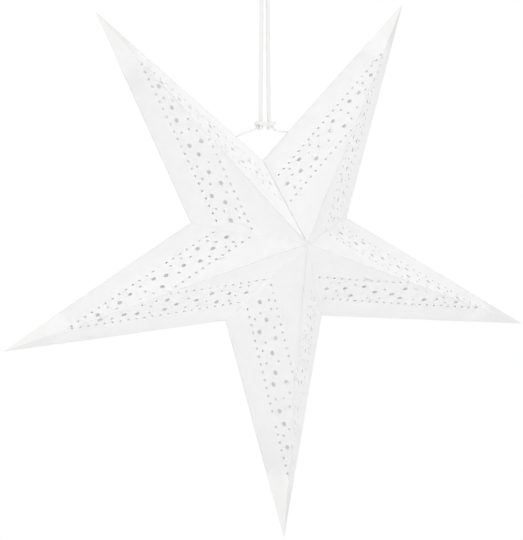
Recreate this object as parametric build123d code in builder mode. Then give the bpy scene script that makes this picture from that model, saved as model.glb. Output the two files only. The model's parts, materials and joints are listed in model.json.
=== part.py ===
from build123d import *
from math import acos, atan2, cos, degrees, hypot, pi, radians, sin
import os

# Paper star lantern, in millimetres and degrees. Twenty punched card panels
# make five hollow points that share one apex in front and one behind. A string
# ties the two upper points together, and the star hangs on that string from a
# doubled cord. X is to the right and Y to the back for someone who faces the
# star, Z is up, and the origin is where the cord's loop bears on its hook.

# Star
TIP_RADIUS = 300.0
CORNER_RADIUS = 90.0
HALF_DEPTH = 103.0
CARD = 0.4
SEAM_GAP = 0.15
LEAN = 2.7
CUT_OVERRUN = 5.0

# The points and their two halves, counter-clockwise from the slit at the top,
# the angles of their tips, and those of the inner corners from slit to slit. The
# tie pulls the upper right tip and the slit 3 to 4 degrees to the left.
POINTS = (
    ("upper_left", ("right", "left")),
    ("left", ("upper", "lower")),
    ("bottom", ("left", "right")),
    ("right", ("lower", "upper")),
    ("upper_right", ("right", "left")),
)
TIP_ANGLES = (126.0, 198.0, 270.0, 342.0, 57.5)
CORNER_ANGLES = (93.0, 162.0, 234.0, 306.0, 18.0, 93.0)

# Punched pattern. Shares run along the outline edge from the inner corner to
# the tip, and across the panel from that edge to the apex.
SMALL_HOLE = 2.6
LARGE_HOLE = 4.9
OUTER_ROW_COUNT = 22
OUTER_ROW_SHARES = ((-0.029, 0.252), (0.713, 0.212))
INNER_ROW_COUNT = 13
INNER_ROW_SHARES = ((-0.113, 0.550), (0.308, 0.530))
LARGE_HOLE_SHARES = (
    (-0.050, 0.392),
    (0.032, 0.413),
    (0.078, 0.311),
    (0.115, 0.453),
    (0.178, 0.384),
    (0.265, 0.364),
    (0.313, 0.312),
    (0.314, 0.445),
    (0.435, 0.300),
    (0.493, 0.312),
    (0.598, 0.281),
)
SMALL_HOLE_SHARES = (
    (-0.051, 0.486),
    (-0.011, 0.486),
    (-0.002, 0.368),
    (0.019, 0.300),
    (0.071, 0.469),
    (0.128, 0.346),
    (0.161, 0.295),
    (0.218, 0.424),
    (0.218, 0.299),
    (0.362, 0.449),
    (0.379, 0.297),
    (0.381, 0.378),
    (0.422, 0.415),
    (0.520, 0.348),
    (0.544, 0.275),
)

# Tie string, from hole to hole behind the two upper points
TIE_STRING = 1.8
TIE_HOLE = 3.0
TIE_LEFT_ALONG = 36.0
TIE_RIGHT_ALONG = 44.0
TIE_INSET = 7.0
TIE_LIFT = 4.0
TIE_BEND = 5.4
TIE_LEAD = 2.0
TIE_KNOT = 4.4
TIE_KNOT_GAP = 0.2
TIE_END_GAP = 0.3

# Hanging cord and the hitch that it makes round the tie string
CORD = 4.0
HOOK_WIRE = 1.8
HANG_LENGTH = 160.0
STRAND_SPREAD = 9.1
HITCH_ABOVE_CENTRE = 124.5
HITCH_ASIDE = 1.2
HITCH_BORE_GAP = 0.2
HITCH_TURN_PITCH = 4.6
HITCH_TOP = 10.0
HITCH_ENTRY_HEIGHT = 7.5
HITCH_TURN_HEIGHT = 1.2
HITCH_BAR_REACH = 7.2
HITCH_ENTRY_BEND = 5.0
HITCH_TURN_BEND = 3.0
HITCH_BAR_BEND = 2.6
GAP_POINTS = 400
GAP_APART = 9.0

# Star frame: local x to the right, y up and z to the front
hitch_centre = Vector(0, 0, -HANG_LENGTH)
star_up = Vector(-sin(radians(LEAN)), 0, cos(radians(LEAN)))
star_right = Vector(cos(radians(LEAN)), 0, sin(radians(LEAN)))
star = Plane(
    origin=hitch_centre - star_up * HITCH_ABOVE_CENTRE + star_right * HITCH_ASIDE,
    x_dir=star_right,
    z_dir=(0, -1, 0),
)


def on_star(radius, angle):
    """A place in the star's middle plane, as a radius and an angle counter-clockwise from its right."""
    return star.from_local_coords((radius * cos(radians(angle)), radius * sin(radians(angle)), 0))


def panel_face(tip, corner, apex):
    """A panel's outer face as a plane at its inner corner, x to the tip and z outwards, with its tip and apex there."""
    outwards = (tip - corner).cross(apex - corner)
    if outwards.dot(corner - star.origin) < 0:
        outwards = -outwards
    face = Plane(origin=corner, x_dir=tip - corner, z_dir=outwards)
    return face, face.to_local_coords(tip), face.to_local_coords(apex)


def across(start, end, place):
    """The direction square to an edge, from start to end, that leads towards a place."""
    along = (end - start).normalized()
    way = place - start
    return (way - along * way.dot(along)).normalized()


def mitre(start, end, own, other):
    """The plane through an edge that halves the angle between the panels there, half a seam gap in, own side up."""
    normal = (across(start, end, own) - across(start, end, other)).normalized()
    return Plane(origin=start + normal * (SEAM_GAP / 2), z_dir=normal)


def row_places(ends, count):
    """Evenly spaced places from the first of two ends to the last."""
    (x0, y0), (x1, y1) = ends
    steps = [i / (count - 1) for i in range(count)]
    return [(x0 + (x1 - x0) * s, y0 + (y1 - y0) * s) for s in steps]


def tube_report(name, tube, route, diameter, radii):
    """Prints a cord tube's bend radii, and its volume beside section times length."""
    section = pi * (diameter / 2) ** 2
    print(name, "radii", [round(r, 2) for r in radii], "length", round(route.length, 1))
    print(name, "volume", round(tube.volume, 1), "section x length", round(section * route.length, 1))


def least_gap(route, diameter):
    """The least gap between stretches of one cord that lie further apart along it than GAP_APART."""
    spacing = route.length / (GAP_POINTS - 1)
    places = [route @ (i / (GAP_POINTS - 1)) for i in range(GAP_POINTS)]
    skip = int(GAP_APART / spacing) + 1
    return min((places[i] - b).length for i in range(GAP_POINTS) for b in places[i + skip:]) - diameter


os.makedirs("parts", exist_ok=True)

tips = [on_star(TIP_RADIUS, angle) for angle in TIP_ANGLES]
corners = [on_star(CORNER_RADIUS, angle) for angle in CORNER_ANGLES]
apexes = [star.from_local_coords((0, 0, z)) for z in (HALF_DEPTH, -HALF_DEPTH)]
small_shares = (
    *row_places(OUTER_ROW_SHARES, OUTER_ROW_COUNT),
    *row_places(INNER_ROW_SHARES, INNER_ROW_COUNT),
    *SMALL_HOLE_SHARES,
)
tie_places = {
    "upper_left_point_back_right_panel": TIE_LEFT_ALONG,
    "upper_right_point_back_left_panel": TIE_RIGHT_ALONG,
}
tied_faces = []

# Panels: flat card triangles, mitred where they meet along ridge, valley and outline
for number, (point, halves) in enumerate(POINTS):
    tip = tips[number]
    point_corners = corners[number:number + 2]
    beside = (tips[number - 1], tips[(number + 1) % len(tips)])
    for side, half in enumerate(halves):
        corner = point_corners[side]
        for layer, apex, other_apex in (("front", *apexes), ("back", *reversed(apexes))):
            name = f"{point}_point_{layer}_{half}_panel"
            face, (edge, _, _), (apex_x, apex_y, _) = panel_face(tip, corner, apex)
            mitres = (
                mitre(tip, apex, corner, point_corners[1 - side]),
                mitre(corner, apex, tip, beside[side]),
                mitre(tip, corner, apex, other_apex),
            )

            with BuildPart() as panel:
                with BuildSketch(face):
                    with Locations(((edge + apex_x) / 2, apex_y / 2)):
                        Rectangle(edge - apex_x + 2 * CUT_OVERRUN, abs(apex_y) + 2 * CUT_OVERRUN)
                extrude(amount=-CARD)
                for plane in mitres:
                    split(bisect_by=plane, keep=Keep.TOP)
                with BuildSketch(face):
                    with Locations([(edge * a, apex_y * b) for a, b in small_shares]):
                        Circle(SMALL_HOLE / 2)
                    with Locations([(edge * a, apex_y * b) for a, b in LARGE_HOLE_SHARES]):
                        Circle(LARGE_HOLE / 2)
                    if name in tie_places:
                        tie_hole = (tie_places[name], TIE_INSET if apex_y > 0 else -TIE_INSET)
                        tied_faces.append((face, *tie_hole))
                        with Locations(tie_hole):
                            Circle(TIE_HOLE / 2)
                extrude(amount=CUT_OVERRUN, both=True, mode=Mode.SUBTRACT)

            panel.part.label = name
            export_step(panel.part, f"parts/{name}.step")

# Hitch: each strand goes once round the tie string, then runs into the bar across their front
wrap_radius = TIE_STRING / 2 + HITCH_BORE_GAP + CORD / 2
inner_wrap = STRAND_SPREAD / 2
outer_wrap = inner_wrap + HITCH_TURN_PITCH
hitch_half_width = outer_wrap + CORD / 2
strand_foot = -HANG_LENGTH + HITCH_TOP
left_turns = (
    (-inner_wrap, 0, HITCH_TOP + CORD),
    (-inner_wrap, 0, HITCH_ENTRY_HEIGHT),
    (-inner_wrap, -wrap_radius, HITCH_TURN_HEIGHT),
    (-inner_wrap, -wrap_radius, -wrap_radius),
    (-inner_wrap, wrap_radius, -wrap_radius),
    (-outer_wrap, wrap_radius, wrap_radius),
    (-outer_wrap, -HITCH_BAR_REACH, wrap_radius),
)
right_turns = [(-x, y, z) for x, y, z in reversed(left_turns)]
left_bends = (
    HITCH_ENTRY_BEND,
    HITCH_ENTRY_BEND,
    HITCH_TURN_BEND,
    HITCH_TURN_BEND,
    HITCH_TURN_BEND,
    HITCH_BAR_BEND,
)
hitch_bends = (*left_bends, *reversed(left_bends))

with BuildPart() as cord_hitch:
    with BuildLine() as hitch_route:
        FilletPolyline(*[hitch_centre + Vector(*p) for p in (*left_turns, *right_turns)], radius=hitch_bends)
    with BuildSketch(Plane(origin=hitch_route.wire() @ 0, z_dir=hitch_route.wire() % 0)):
        Circle(CORD / 2)
    sweep(path=hitch_route.wire())
    tube_report("cord_hitch", cord_hitch.part, hitch_route.wire(), CORD, hitch_bends)
    print("cord_hitch least gap to itself", round(least_gap(hitch_route.wire(), CORD), 2))
    split(bisect_by=Plane.XY.offset(strand_foot), keep=Keep.BOTTOM)

cord_hitch.part.label = "cord_hitch"
export_step(cord_hitch.part, "parts/cord_hitch.step")

# Hanging cord: two straight strands that lean together up to a bight round the hook's wire
bight_radius = (HOOK_WIRE + CORD) / 2
bight_centre = -HOOK_WIRE / 2
foot_drop = bight_centre - strand_foot + CORD
foot_reach = hypot(inner_wrap, foot_drop)
bight_turn = degrees(acos(bight_radius / foot_reach) - atan2(foot_drop, inner_wrap))

with BuildPart() as hanging_cord:
    with BuildLine(Plane.XZ) as cord_route:
        bight = CenterArc((0, bight_centre), bight_radius, bight_turn, 180 - 2 * bight_turn)
        Line(bight @ 0, (inner_wrap, bight_centre - foot_drop))
        Line(bight @ 1, (-inner_wrap, bight_centre - foot_drop))
    with BuildSketch(Plane(origin=bight @ 0, z_dir=bight % 0)):
        Circle(CORD / 2)
    sweep(path=cord_route.wire())
    tube_report("hanging_cord", hanging_cord.part, cord_route.wire(), CORD, [bight_radius])
    split(bisect_by=Plane.XY.offset(strand_foot), keep=Keep.TOP)

hanging_cord.part.label = "hanging_cord"
export_step(hanging_cord.part, "parts/hanging_cord.step")

# Tie string: a left length that runs on through the hitch, and a right length that meets its end
hitch_left = hitch_centre - Vector(hitch_half_width + TIE_LEAD, 0, 0)
hitch_right = hitch_centre + Vector(hitch_half_width + TIE_END_GAP + 2 * TIE_LEAD, 0, 0)
string_ends = (
    ("left_tie_string", hitch_centre + Vector(hitch_half_width, 0, 0), hitch_left),
    ("right_tie_string", hitch_centre + Vector(hitch_half_width + TIE_END_GAP, 0, 0), hitch_right),
)
knot_drop = CARD + TIE_KNOT_GAP + TIE_KNOT / 2

for (name, string_end, lead), (face, along, inset) in zip(string_ends, tied_faces):
    above_hole = face.from_local_coords((along, inset, TIE_LIFT))
    knot_centre = face.from_local_coords((along, inset, -knot_drop))

    with BuildPart() as tie_string:
        with BuildLine() as string_route:
            FilletPolyline(string_end, lead, above_hole, knot_centre, radius=(TIE_BEND, TIE_BEND))
        with BuildSketch(Plane(origin=string_route.wire() @ 0, z_dir=string_route.wire() % 0)):
            Circle(TIE_STRING / 2)
        sweep(path=string_route.wire())
        tube_report(name, tie_string.part, string_route.wire(), TIE_STRING, [TIE_BEND, TIE_BEND])
        with Locations(knot_centre):
            Sphere(TIE_KNOT / 2)

    tie_string.part.label = name
    export_step(tie_string.part, f"parts/{name}.step")
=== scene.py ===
import json
from math import cos, pi, radians, sin

import bmesh
import bpy
import numpy as np
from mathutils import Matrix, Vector

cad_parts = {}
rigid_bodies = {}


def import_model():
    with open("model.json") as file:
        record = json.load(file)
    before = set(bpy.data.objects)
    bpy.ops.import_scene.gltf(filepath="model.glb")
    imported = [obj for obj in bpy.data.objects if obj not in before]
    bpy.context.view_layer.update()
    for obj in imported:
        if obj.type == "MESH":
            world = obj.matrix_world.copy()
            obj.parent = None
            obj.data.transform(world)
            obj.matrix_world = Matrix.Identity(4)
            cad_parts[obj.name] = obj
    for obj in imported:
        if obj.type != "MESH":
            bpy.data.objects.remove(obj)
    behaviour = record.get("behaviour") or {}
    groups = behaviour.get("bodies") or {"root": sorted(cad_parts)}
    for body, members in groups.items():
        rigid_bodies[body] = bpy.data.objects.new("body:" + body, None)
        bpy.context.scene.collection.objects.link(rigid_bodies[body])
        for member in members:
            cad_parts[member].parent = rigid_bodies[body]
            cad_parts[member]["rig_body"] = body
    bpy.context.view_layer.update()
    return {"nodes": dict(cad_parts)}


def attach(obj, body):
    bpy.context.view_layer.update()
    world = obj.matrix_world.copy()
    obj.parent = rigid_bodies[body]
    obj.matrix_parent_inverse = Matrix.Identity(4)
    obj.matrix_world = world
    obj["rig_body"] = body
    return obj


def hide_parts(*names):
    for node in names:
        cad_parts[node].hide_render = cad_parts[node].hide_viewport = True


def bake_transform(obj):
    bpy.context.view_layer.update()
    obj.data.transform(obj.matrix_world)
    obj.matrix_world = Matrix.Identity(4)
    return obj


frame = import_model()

# Camera. The photograph was taken from about two metres off with a long lens, a
# little to the left of the star's face and a little below its middle.
camera_aim = Vector((-0.0034, 0, -0.3079))
camera_distance = 2.0
camera_azimuth = radians(-19.99)
camera_elevation = radians(-1.30)
camera_lens = 129.6
towards_camera = Vector((
    sin(camera_azimuth) * cos(camera_elevation),
    -cos(camera_azimuth) * cos(camera_elevation),
    sin(camera_elevation),
))
camera = bpy.data.objects.new("camera", bpy.data.cameras.new("camera"))
camera.data.lens = camera_lens
camera.location = camera_aim + towards_camera * camera_distance
camera.rotation_euler = (-towards_camera).to_track_quat("-Z", "Y").to_euler()
bpy.context.scene.collection.objects.link(camera)
bpy.context.scene.camera = camera
bpy.context.scene.view_settings.view_transform = "Standard"

# Hanging cord. One loop of soft white cotton cord, braided from twelve strands,
# lies over a hook, comes down as two strands, and is hitched round the tie
# string: each strand goes once round it and both run into the bar in front.
cord_diameter = 0.004
cord_strands_each_way = 6
cord_lay = 0.0145
cord_relief = 0.00016
cord_line_steps = 48
cord_ring_spacing = 0.00026
cord_ring_points = 36
strand_roundness = 0.6
dive_depth = 0.45
dive_roundness = 0.5
cord_crown = (0.75, 0.75, 0.745, 1)
# Painted shade: the braid's grooves are a darker grey than its crowns.
cord_groove_painted_shade = (0.60, 0.60, 0.595, 1)
cord_crown_from = 0.6
cord_fibre_scale = 2600
cord_fibre_detail = 3
cord_fibre_strength = 0.35
cord_fibre_height = 0.00015
cotton_roughness = 0.9
cotton_shine = 0.25
cotton_sheen = 0.25

left_half = np.array([
    (0, 0, 0.0020),
    (-0.0039, 0, 0.0020),
    (-0.0031, 0, -0.0240),
    (-0.00455, 0, -0.1460),
    (-0.00455, 0, -0.1520),
    (-0.00455, -0.0034, -0.1572),
    (-0.00455, -0.0034, -0.1616),
    (-0.00455, 0.0034, -0.1616),
    (-0.00925, 0.0034, -0.1566),
    (-0.00925, -0.0077, -0.1566),
])
bar_middle = (0, -0.0077, -0.1590)
right_half = left_half[::-1] * (-1, 1, 1)


def spline_points(name, control, steps):
    """The points of the NURBS spline that runs smoothly from the first control point to
    the last, cutting inside those between."""
    curve = bpy.data.curves.new(name, "CURVE")
    curve.dimensions = "3D"
    curve.resolution_u = steps
    spline = curve.splines.new("NURBS")
    spline.points.add(len(control) - 1)
    weighted = np.column_stack([control, np.ones(len(control))])
    spline.points.foreach_set("co", weighted.ravel())
    spline.order_u = 3
    spline.use_endpoint_u = True
    carrier = bpy.data.objects.new(name, curve)
    line = bpy.data.meshes.new_from_object(carrier)
    points = np.empty(3 * len(line.vertices))
    line.vertices.foreach_get("co", points)
    bpy.data.meshes.remove(line)
    bpy.data.objects.remove(carrier)
    bpy.data.curves.remove(curve)
    return points.reshape(-1, 3)


def unit(vectors):
    """Each vector divided by its own length."""
    return vectors / np.linalg.norm(vectors, axis=-1, keepdims=True)


def carried_frames(points, spacing, closed=False):
    """Rings along a line: their distances along it, their centres, and two unit
    directions square to the line.

    The centres are read off the line at even distances. The first direction is carried
    from point to point, each time less its part along the new tangent, so it doesn't
    turn about the line. The second is the tangent crossed with it. Where the line is
    closed, the angle between the last first direction and the one it began with is
    taken up in even parts along it.
    """
    steps = np.linalg.norm(np.diff(points, axis=0), axis=1)
    lengths = np.concatenate([[0], np.cumsum(steps)])
    tangents = unit(np.gradient(points, lengths, axis=0))
    sides = np.empty_like(points)
    side = np.cross(tangents[0], (0, 1, 0))
    for place, tangent in enumerate(tangents):
        side = unit(side - tangent * (side @ tangent))
        sides[place] = side
    distances = np.linspace(0, lengths[-1], int(lengths[-1] / spacing) + 1)
    centres, tangents, sides = (
        np.column_stack([np.interp(distances, lengths, column) for column in values.T])
        for values in (points, tangents, sides)
    )
    tangents = unit(tangents)
    sides = unit(sides - tangents * (sides * tangents).sum(axis=1, keepdims=True))
    ups = np.cross(tangents, sides)
    if closed:
        left_over = np.arctan2(sides[0] @ ups[-1], sides[0] @ sides[-1])
        turn = (left_over * distances / distances[-1])[:, None]
        sides, ups = (
            np.cos(turn) * sides + np.sin(turn) * ups,
            np.cos(turn) * ups - np.sin(turn) * sides,
        )
    return distances, centres, sides, ups


def surface(name, grid, along=False):
    """A mesh of quads over a grid of points, closed round its rows, and along its
    columns too where the piece is a ring."""
    rows, columns = grid.shape[:2]
    row = np.arange(rows if along else rows - 1)[:, None]
    column = np.arange(columns)[None, :]
    next_row, next_column = (row + 1) % rows, (column + 1) % columns
    quads = np.stack([
        row * columns + column,
        row * columns + next_column,
        next_row * columns + next_column,
        next_row * columns + column,
    ], axis=-1).reshape(-1, 4)
    mesh = bpy.data.meshes.new(name)
    mesh.from_pydata(grid.reshape(-1, 3).tolist(), [], quads.tolist())
    mesh.polygons.foreach_set("use_smooth", np.ones(len(quads), bool))
    piece = bpy.data.objects.new(name, mesh)
    bpy.context.scene.collection.objects.link(piece)
    return piece


def braid(across, along, strands):
    """Height of a round braid, from 0 in its grooves to 1 on its crowns.

    Strands wind both ways, so each family is a count of turns across plus or minus
    turns along. Where the two whole counts add up to an even number the first family
    lies on top, and elsewhere the second. A strand's height is the sine of half a turn
    across it, to the power of its roundness. Towards its ends, where it dives under,
    the height falls by the dive's depth, less the same sine along it.
    """
    first, second = strands * (across + along), strands * (across - along)
    first_on_top = (np.floor(first) + np.floor(second)) % 2 == 0
    own = np.where(first_on_top, first, second) % 1
    other = np.where(first_on_top, second, first) % 1
    rise = np.sin(pi * own) ** strand_roundness
    return rise * (1 - dive_depth + dive_depth * np.sin(pi * other) ** dive_roundness)


def braided_cord_finish():
    """Cotton braid: crowns near white and grooves a soft grey of painted shade, by the
    piece's own braid attribute, with fine fibres."""
    material = bpy.data.materials.new("braided_cotton")
    material.use_nodes = True
    nodes, links = material.node_tree.nodes, material.node_tree.links
    shader = nodes["Principled BSDF"]
    height = nodes.new("ShaderNodeAttribute")
    height.attribute_name = "braid_height"
    # Painted shade in the grooves, by braid height.
    colours = nodes.new("ShaderNodeValToRGB")
    colours.color_ramp.elements[0].color = cord_groove_painted_shade
    colours.color_ramp.elements[1].color = cord_crown
    colours.color_ramp.elements[1].position = cord_crown_from
    place = nodes.new("ShaderNodeTexCoord")
    fibres = nodes.new("ShaderNodeTexNoise")
    fibres.inputs["Scale"].default_value = cord_fibre_scale
    fibres.inputs["Detail"].default_value = cord_fibre_detail
    bump = nodes.new("ShaderNodeBump")
    bump.inputs["Strength"].default_value = cord_fibre_strength
    bump.inputs["Distance"].default_value = cord_fibre_height
    links.new(height.outputs["Fac"], colours.inputs["Fac"])
    links.new(colours.outputs["Color"], shader.inputs["Base Color"])
    links.new(place.outputs["Object"], fibres.inputs["Vector"])
    links.new(fibres.outputs["Fac"], bump.inputs["Height"])
    links.new(bump.outputs["Normal"], shader.inputs["Normal"])
    shader.inputs["Roughness"].default_value = cotton_roughness
    shader.inputs["Sheen Weight"].default_value = cotton_sheen
    shader.inputs["Specular IOR Level"].default_value = cotton_shine
    return material


cord_control = np.vstack([left_half, bar_middle, right_half])
cord_line = spline_points("cord_route", cord_control, cord_line_steps)
distances, centres, sides, ups = carried_frames(cord_line, cord_ring_spacing, closed=True)
centres, sides, ups = centres[:-1], sides[:-1], ups[:-1]
along = distances[:-1] / distances[-1]
turns_along = round(distances[-1] / cord_lay)
across = np.linspace(0, 1, cord_ring_points, endpoint=False)
heights = braid(across[None, :], turns_along * along[:, None], cord_strands_each_way)
radii = cord_diameter / 2 - cord_relief * (1 - heights)
cord_grid = centres[:, None] + radii[..., None] * (
    np.cos(2 * pi * across)[None, :, None] * sides[:, None]
    + np.sin(2 * pi * across)[None, :, None] * ups[:, None]
)
hanging_loop = surface("hanging_cord_loop", cord_grid, along=True)
braid_height = hanging_loop.data.attributes.new("braid_height", "FLOAT", "POINT")
braid_height.data.foreach_set("value", heights.ravel())
hanging_loop.data.materials.append(braided_cord_finish())
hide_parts("hanging_cord", "cord_hitch")
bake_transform(hanging_loop)

# Tie string. Thin two-ply white twine joins the two upper points through a
# punched hole in each. It runs through the hitch, and a knot inside each point
# keeps its end from slipping out.
twine_diameter = 0.0024
twine_lay = 0.0066
twine_line_steps = 24
twine_ring_spacing = 0.0003
twine_ring_points = 12
ply_diameter = 0.00127
knot_radius = 0.0022
knot_twine = 0.00125
knot_depth = 1.6
knot_steps = 180
twine_colour = (0.79, 0.79, 0.785, 1)
twine_dark = (0.70, 0.70, 0.695, 1)
twine_dark_to = 0.2
twine_colour_from = 0.55
twine_blotch_scale = 420
twine_fibre_scale = 5200
twine_fibre_strength = 0.3
twine_fibre_height = 0.0001
twine_runs = {
    "left_tie_string": ("upper_left_back_right", (
        (0.01115, 0, -0.1628),
        (0.00850, 0, -0.1604),
        (0.00450, 0, -0.1576),
        (-0.00450, 0, -0.1576),
        (-0.00850, 0, -0.1614),
        (-0.01250, 0, -0.1640),
        (-0.03005, 0.00806, -0.17033),
        (-0.03368, 0.00447, -0.17682),
    )),
    "right_tie_string": ("upper_right_back_left", (
        (0.01145, 0, -0.1630),
        (0.01400, 0, -0.1640),
        (0.02837, 0.00805, -0.16379),
        (0.03254, 0.00432, -0.16665),
    )),
}


def tube(centres, sides, ups, diameter):
    """Even rings of points round a line: each centre plus the radius times the cosine of
    the angle along the side direction and its sine along the up direction."""
    angle = np.linspace(0, 2 * pi, twine_ring_points, endpoint=False)[None, :, None]
    return centres[:, None] + diameter / 2 * (
        np.cos(angle) * sides[:, None] + np.sin(angle) * ups[:, None]
    )


def twisted_ply(line, start_angle):
    """One ply of the twine: a round tube whose centre winds about the line once in each
    lay. It lies off the line by half the difference between twine and ply."""
    distances, centres, sides, ups = carried_frames(line, twine_ring_spacing)
    turn = (2 * pi * distances / twine_lay + start_angle)[:, None]
    offset = (twine_diameter - ply_diameter) / 2
    centres = centres + offset * (np.cos(turn) * sides + np.sin(turn) * ups)
    return tube(centres, sides, ups, ply_diameter)


def overhand_knot(centre):
    """A trefoil tube: x = sin t + 2 sin 2t, y = cos t - 2 cos 2t and z = -sin 3t times
    the knot's depth, brought down to the knot's radius."""
    t = np.linspace(0, 2 * pi, knot_steps + 1)
    line = np.column_stack([
        np.sin(t) + 2 * np.sin(2 * t),
        np.cos(t) - 2 * np.cos(2 * t),
        -knot_depth * np.sin(3 * t),
    ])
    line = np.asarray(centre) + line * (knot_radius - knot_twine / 2) / 3
    _, centres, sides, ups = carried_frames(line, twine_ring_spacing / 2, closed=True)
    return tube(centres[:-1], sides[:-1], ups[:-1], knot_twine)


def cotton_twine_finish():
    """Cotton twine: off-white, a little darker in blotches a few millimetres long, with
    fine fibres."""
    material = bpy.data.materials.new("cotton_twine")
    material.use_nodes = True
    nodes, links = material.node_tree.nodes, material.node_tree.links
    shader = nodes["Principled BSDF"]
    place = nodes.new("ShaderNodeTexCoord")
    blotches = nodes.new("ShaderNodeTexNoise")
    blotches.inputs["Scale"].default_value = twine_blotch_scale
    colours = nodes.new("ShaderNodeValToRGB")
    colours.color_ramp.elements[0].color = twine_dark
    colours.color_ramp.elements[0].position = twine_dark_to
    colours.color_ramp.elements[1].color = twine_colour
    colours.color_ramp.elements[1].position = twine_colour_from
    fibres = nodes.new("ShaderNodeTexNoise")
    fibres.inputs["Scale"].default_value = twine_fibre_scale
    bump = nodes.new("ShaderNodeBump")
    bump.inputs["Strength"].default_value = twine_fibre_strength
    bump.inputs["Distance"].default_value = twine_fibre_height
    links.new(place.outputs["Object"], blotches.inputs["Vector"])
    links.new(blotches.outputs["Fac"], colours.inputs["Fac"])
    links.new(colours.outputs["Color"], shader.inputs["Base Color"])
    links.new(place.outputs["Object"], fibres.inputs["Vector"])
    links.new(fibres.outputs["Fac"], bump.inputs["Height"])
    links.new(bump.outputs["Normal"], shader.inputs["Normal"])
    shader.inputs["Roughness"].default_value = cotton_roughness
    shader.inputs["Specular IOR Level"].default_value = cotton_shine
    return material


cotton_twine = cotton_twine_finish()
for node, (body, run) in twine_runs.items():
    line = spline_points(node + "_route", np.array(run), twine_line_steps)
    parts = [
        surface(node + "_first_ply", twisted_ply(line, 0)),
        surface(node + "_second_ply", twisted_ply(line, pi)),
        surface(node + "_knot", overhand_knot(run[-1]), along=True),
    ]
    for part in parts:
        part.data.materials.append(cotton_twine)
        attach(part, body)
    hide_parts(node)

# Star panels. Twenty triangles of matt white card, die-punched with a pattern of
# small and large holes. Ridges and outline edges are scored and folded, so the
# card runs on there, and it bows a little where the glue and the tie pull it.
star_centre = np.array((0.00706, 0, -0.28431))
star_lean = radians(2.7)
star_right = np.array((cos(star_lean), 0, sin(star_lean)))
star_up = np.array((-sin(star_lean), 0, cos(star_lean)))
star_front = np.array((0, -1, 0))
tip_radius = 0.300
corner_radius = 0.090
half_depth = 0.103
seam_half_gap = 0.000075
edge_reach = 1.2 * seam_half_gap
merge_distance = 1e-6
cut_tolerance = 1e-7
fold_let_out = 0.00007
valley_let_out = 0.00004
slit_pull = 0.00025
cell = 0.012
crease_width = 0.0013
# Fold marks: ridges fully and glued valleys a quarter painted whiter (painted light), and
# they soak less light through.
fold_crease = 1.0
glued_crease = 0.25
crease_soak = 0.35
# Each point: its tip's angle, then for each half its inner corner's angle, the point
# beside it, and how far its panels bow outwards.
star_points = {
    "upper_left": (126, {
        "right": (93, "upper_right", 0.0006),
        "left": (162, "left", -0.0008),
    }),
    "left": (198, {
        "upper": (162, "upper_left", 0.0008),
        "lower": (234, "bottom", 0.0006),
    }),
    "bottom": (270, {
        "left": (234, "left", 0.0006),
        "right": (306, "right", -0.0006),
    }),
    "right": (342, {
        "lower": (306, "bottom", 0.0008),
        "upper": (18, "upper_right", -0.0006),
    }),
    "upper_right": (57.5, {
        "right": (18, "right", -0.0006),
        "left": (93, "upper_left", 0.0006),
    }),
}
card_white = (0.955, 0.955, 0.948, 1)
card_white_from = 0.7
card_shade = (0.93, 0.93, 0.922, 1)
card_shade_to = 0.3
cloud_scale = 60
cloud_detail = 3
swell_scale = 11
swell_detail = 1
swell_strength = 0.5
swell_height = 0.004
card_fibre_scale = 1500
card_fibre_detail = 4
card_fibre_strength = 0.15
card_fibre_height = 0.0001
card_roughness = 0.85
card_shine = 0.1
soak_depth = 0.0019
soak_tint = (1, 1, 0.95)
# Painted light: the white that the folds are mixed towards, to lift the shade along them.
fold_painted_light = (1, 1, 1, 1)
# Painted shade: the closed tips are painted a darker white, standing in for the light
# that would soak through the card.
closed_tip_start = 0.222
closed_tip_full = 0.262
closed_tip_painted_shade = (0.755, 0.755, 0.75, 1)
bounces_inside = 32


def on_star(radius, angle):
    """A place in the star's middle plane: its centre plus the radius times the cosine to
    the right and the sine upwards."""
    turn = radians(angle)
    return star_centre + radius * (cos(turn) * star_right + sin(turn) * star_up)


def towards_own_side(start, end, own, other):
    """The direction square to the plane between two panels at their shared edge: the way
    from the edge to the panel's own far corner less the way to its neighbour's, each
    taken square to the edge."""
    line = unit(end - start)
    own_way, other_way = (
        unit(corner - start - line * ((corner - start) @ line)) for corner in (own, other)
    )
    return unit(own_way - other_way)


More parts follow.
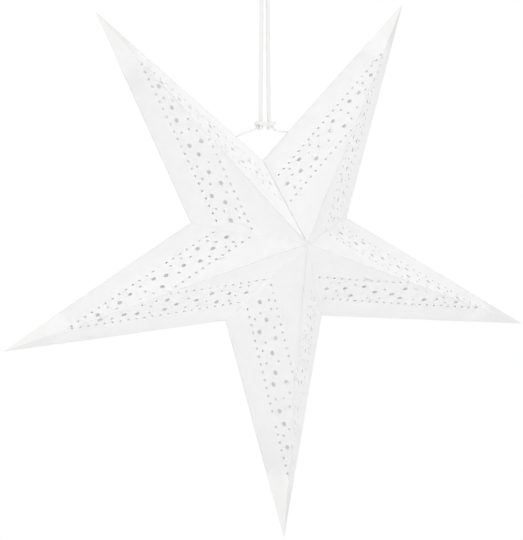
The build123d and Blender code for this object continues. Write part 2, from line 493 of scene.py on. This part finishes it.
def bowed_card(node, corners, bow, edges):
    """A copy of a flat panel with its edges let out or pulled in, cut into cells and bent
    outwards by a bow that fades to nothing at its three edges.

    An extra cut runs along each edge, one crease's width in, so that the crease
    attribute fades over that width. A vertex on an edge lies within the edge's reach of
    the plane between the two panels there, and moves square to that plane.

    A place in the triangle has three shares, one for each corner, that add up to one,
    and each is 0 on the edge opposite its corner. The bow there is the full bow times
    the square of 27 times their product, which is 1 in the middle.
    """
    card = bmesh.new()
    card.from_mesh(node.data)
    bmesh.ops.remove_doubles(card, verts=card.verts, dist=merge_distance)
    tip, corner, apex = corners
    square = unit(np.cross(corner - tip, apex - tip))
    square *= np.sign(square @ (corner - star_centre))
    cuts = []
    for start, end, far in ((tip, apex, corner), (corner, apex, tip)):
        way = unit(np.cross(square, end - start))
        reach = (far - start) @ way
        steps = np.arange(cell, abs(reach), cell) * np.sign(reach)
        cuts += [(start + way * step, way) for step in steps]
    for start, end, own, _, _, _ in edges:
        way = unit(np.cross(square, end - start))
        way *= np.sign((own - start) @ way)
        cuts.append((start + way * crease_width, way))
    for place, way in cuts:
        bmesh.ops.bisect_plane(
            card,
            geom=card.verts[:] + card.edges[:] + card.faces[:],
            dist=cut_tolerance,
            plane_co=place,
            plane_no=way,
        )
    mesh = bpy.data.meshes.new(node.name + "_card")
    card.to_mesh(mesh)
    card.free()
    places = np.empty(3 * len(mesh.vertices))
    mesh.vertices.foreach_get("co", places)
    places = places.reshape(-1, 3)
    crease = np.zeros(len(places))
    for start, end, own, other, let_out, creased in edges:
        inwards = towards_own_side(start, end, own, other)
        on_edge = (places - start) @ inwards < edge_reach
        places[on_edge] -= let_out * inwards
        crease[on_edge] = np.maximum(crease[on_edge], creased)
    tip_share, corner_share = np.linalg.lstsq(
        np.column_stack([tip - apex, corner - apex]), (places - apex).T, rcond=None
    )[0]
    product = tip_share * corner_share * (1 - tip_share - corner_share)
    fullness = np.clip(27 * product, 0, 1) ** 2
    places += bow * fullness[:, None] * square
    mesh.vertices.foreach_set("co", places.ravel())
    mesh.attributes.new("crease", "FLOAT", "POINT").data.foreach_set("value", crease)
    piece = bpy.data.objects.new(node.name + "_card", mesh)
    bpy.context.scene.collection.objects.link(piece)
    return piece


def punched_card_finish():
    """Matt white card of about 300 grams: faint clouds, a slow swell and fine fibres.

    Light soaks through the thin sheet, a little less at the folds, which are painted
    whiter there: painted light that lifts the shade along them. In the closed tips it
    doesn't, as there it would only show as grain, and the card is painted darker there
    instead: painted shade standing in for the light that soaks through.
    """
    material = bpy.data.materials.new("punched_card")
    material.use_nodes = True
    nodes, links = material.node_tree.nodes, material.node_tree.links
    shader = nodes["Principled BSDF"]
    place = nodes.new("ShaderNodeTexCoord")
    clouds = nodes.new("ShaderNodeTexNoise")
    clouds.inputs["Scale"].default_value = cloud_scale
    clouds.inputs["Detail"].default_value = cloud_detail
    colours = nodes.new("ShaderNodeValToRGB")
    colours.color_ramp.elements[0].color = card_shade
    colours.color_ramp.elements[0].position = card_shade_to
    colours.color_ramp.elements[1].color = card_white
    colours.color_ramp.elements[1].position = card_white_from
    swell = nodes.new("ShaderNodeTexNoise")
    swell.inputs["Scale"].default_value = swell_scale
    swell.inputs["Detail"].default_value = swell_detail
    swell_bump = nodes.new("ShaderNodeBump")
    swell_bump.inputs["Strength"].default_value = swell_strength
    swell_bump.inputs["Distance"].default_value = swell_height
    fibres = nodes.new("ShaderNodeTexNoise")
    fibres.inputs["Scale"].default_value = card_fibre_scale
    fibres.inputs["Detail"].default_value = card_fibre_detail
    fibre_bump = nodes.new("ShaderNodeBump")
    fibre_bump.inputs["Strength"].default_value = card_fibre_strength
    fibre_bump.inputs["Distance"].default_value = card_fibre_height
    for noise in (clouds, swell, fibres):
        links.new(place.outputs["Object"], noise.inputs["Vector"])
    links.new(clouds.outputs["Fac"], colours.inputs["Fac"])
    crease = nodes.new("ShaderNodeAttribute")
    crease.attribute_name = "crease"
    # Painted light: whiter along the folds, by the crease attribute.
    creased = nodes.new("ShaderNodeMix")
    creased.data_type = "RGBA"
    creased.inputs["B"].default_value = fold_painted_light
    links.new(crease.outputs["Fac"], creased.inputs["Factor"])
    links.new(colours.outputs["Color"], creased.inputs["A"])
    from_centre = nodes.new("ShaderNodeVectorMath")
    from_centre.operation = "DISTANCE"
    from_centre.inputs[1].default_value = star_centre
    links.new(place.outputs["Object"], from_centre.inputs[0])
    in_tip = nodes.new("ShaderNodeMapRange")
    in_tip.interpolation_type = "SMOOTHSTEP"
    in_tip.inputs["From Min"].default_value = closed_tip_start
    in_tip.inputs["From Max"].default_value = closed_tip_full
    links.new(from_centre.outputs["Value"], in_tip.inputs["Value"])
    # Painted shade: darker card in the closed tips.
    painted_tip_shade = nodes.new("ShaderNodeMix")
    painted_tip_shade.data_type = "RGBA"
    painted_tip_shade.inputs["B"].default_value = closed_tip_painted_shade
    links.new(in_tip.outputs["Result"], painted_tip_shade.inputs["Factor"])
    links.new(creased.outputs["Result"], painted_tip_shade.inputs["A"])
    links.new(painted_tip_shade.outputs["Result"], shader.inputs["Base Color"])
    soak = nodes.new("ShaderNodeMapRange")
    soak.inputs["To Min"].default_value = 1
    soak.inputs["To Max"].default_value = crease_soak
    links.new(crease.outputs["Fac"], soak.inputs["Value"])
    soak_here = nodes.new("ShaderNodeMapRange")
    soak_here.inputs["To Max"].default_value = 0
    links.new(in_tip.outputs["Result"], soak_here.inputs["Value"])
    links.new(soak.outputs["Result"], soak_here.inputs["To Min"])
    links.new(soak_here.outputs["Result"], shader.inputs["Subsurface Weight"])
    links.new(swell.outputs["Fac"], swell_bump.inputs["Height"])
    links.new(fibres.outputs["Fac"], fibre_bump.inputs["Height"])
    links.new(swell_bump.outputs["Normal"], fibre_bump.inputs["Normal"])
    links.new(fibre_bump.outputs["Normal"], shader.inputs["Normal"])
    shader.inputs["Roughness"].default_value = card_roughness
    shader.inputs["Specular IOR Level"].default_value = card_shine
    shader.inputs["Subsurface Radius"].default_value = soak_tint
    shader.inputs["Subsurface Scale"].default_value = soak_depth
    return material


bpy.context.scene.cycles.max_bounces = bounces_inside
bpy.context.scene.cycles.diffuse_bounces = bounces_inside
punched_card = punched_card_finish()
for point, (tip_angle, halves) in star_points.items():
    tip = on_star(tip_radius, tip_angle)
    inner_corners = {half: on_star(corner_radius, halves[half][0]) for half in halves}
    for half, (_, neighbour, bow) in halves.items():
        corner = inner_corners[half]
        corner_beyond = next(inner_corners[other] for other in halves if other != half)
        tip_beside = on_star(tip_radius, star_points[neighbour][0])
        at_slit = {point, neighbour} == {"upper_left", "upper_right"}
        for layer, way in (("front", 1), ("back", -1)):
            apex = star_centre + way * half_depth * star_front
            apex_beyond = star_centre - way * half_depth * star_front
            edges = (
                (tip, apex, corner, corner_beyond, fold_let_out, fold_crease),
                (tip, corner, apex, apex_beyond, fold_let_out, 0),
                (corner, apex, tip, tip_beside, -slit_pull, 0) if at_slit
                else (corner, apex, tip, tip_beside, valley_let_out, glued_crease),
            )
            node = frame["nodes"][f"{point}_point_{layer}_{half}_panel"]
            panel = bowed_card(node, (tip, corner, apex), bow, edges)
            panel.data.materials.append(punched_card)
            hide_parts(node.name)
            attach(panel, node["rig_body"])

# Studio. A pale round floor under the hanging star, an even white surround, and
# two large soft lamps: one in front, low and to the left, and one overhead.
floor_height = -0.95
floor_radius = 1.6
floor_hub = 0.001
floor_rim_points = 96
floor_fade_from = 0.35
floor_fade_to = 0.95
floor_colour = (0.90, 0.90, 0.90, 1)
floor_roughness = 0.9
lamp_size = 1.6
lamps = {
    "front_lamp": ((-1.2, -2.4, -0.7), 17.4),
    "top_lamp": ((0, -0.6, 2.2), 7.7),
}


def floor_finish():
    """Matt pale floor that fades to the white of the surround at its rim."""
    material = bpy.data.materials.new("studio_floor")
    material.use_nodes = True
    nodes, links = material.node_tree.nodes, material.node_tree.links
    shader = nodes["Principled BSDF"]
    shader.inputs["Base Color"].default_value = floor_colour
    shader.inputs["Roughness"].default_value = floor_roughness
    place = nodes.new("ShaderNodeTexCoord")
    centre = nodes.new("ShaderNodeVectorMath")
    centre.operation = "MULTIPLY"
    centre.inputs[1].default_value = (1 / floor_radius, 1 / floor_radius, 0)
    reach = nodes.new("ShaderNodeVectorMath")
    reach.operation = "LENGTH"
    fade = nodes.new("ShaderNodeMapRange")
    fade.interpolation_type = "SMOOTHSTEP"
    fade.inputs["From Min"].default_value = floor_fade_from
    fade.inputs["From Max"].default_value = floor_fade_to
    white = nodes.new("ShaderNodeEmission")
    rays = nodes.new("ShaderNodeLightPath")
    seen = nodes.new("ShaderNodeMath")
    seen.operation = "MULTIPLY"
    mixed = nodes.new("ShaderNodeMixShader")
    links.new(place.outputs["Object"], centre.inputs[0])
    links.new(centre.outputs["Vector"], reach.inputs[0])
    links.new(reach.outputs["Value"], fade.inputs["Value"])
    links.new(fade.outputs["Result"], seen.inputs[0])
    links.new(rays.outputs["Is Camera Ray"], seen.inputs[1])
    links.new(seen.outputs["Value"], mixed.inputs["Fac"])
    links.new(shader.outputs["BSDF"], mixed.inputs[1])
    links.new(white.outputs["Emission"], mixed.inputs[2])
    links.new(mixed.outputs["Shader"], nodes["Material Output"].inputs["Surface"])
    return material


rim = np.linspace(0, 2 * pi, floor_rim_points, endpoint=False)
disc = np.stack([
    np.column_stack([r * np.cos(rim), r * np.sin(rim), np.full(len(rim), floor_height)])
    for r in (floor_radius, floor_hub)
])
floor = surface("studio_floor", disc)
floor.data.materials.append(floor_finish())

for name, (place, power) in lamps.items():
    lamp = bpy.data.lights.new(name, "AREA")
    lamp.shape = "DISK"
    lamp.size = lamp_size
    lamp.energy = power
    stand = bpy.data.objects.new(name, lamp)
    stand.location = place
    aim = Vector(star_centre) - Vector(place)
    stand.rotation_euler = aim.to_track_quat("-Z", "Y").to_euler()
    bpy.context.scene.collection.objects.link(stand)

world = bpy.data.worlds.new("white_surround")
world.use_nodes = True
bpy.context.scene.world = world
background = world.node_tree.nodes["Background"]
background.inputs["Color"].default_value = (1, 1, 1, 1)
background.inputs["Strength"].default_value = 1
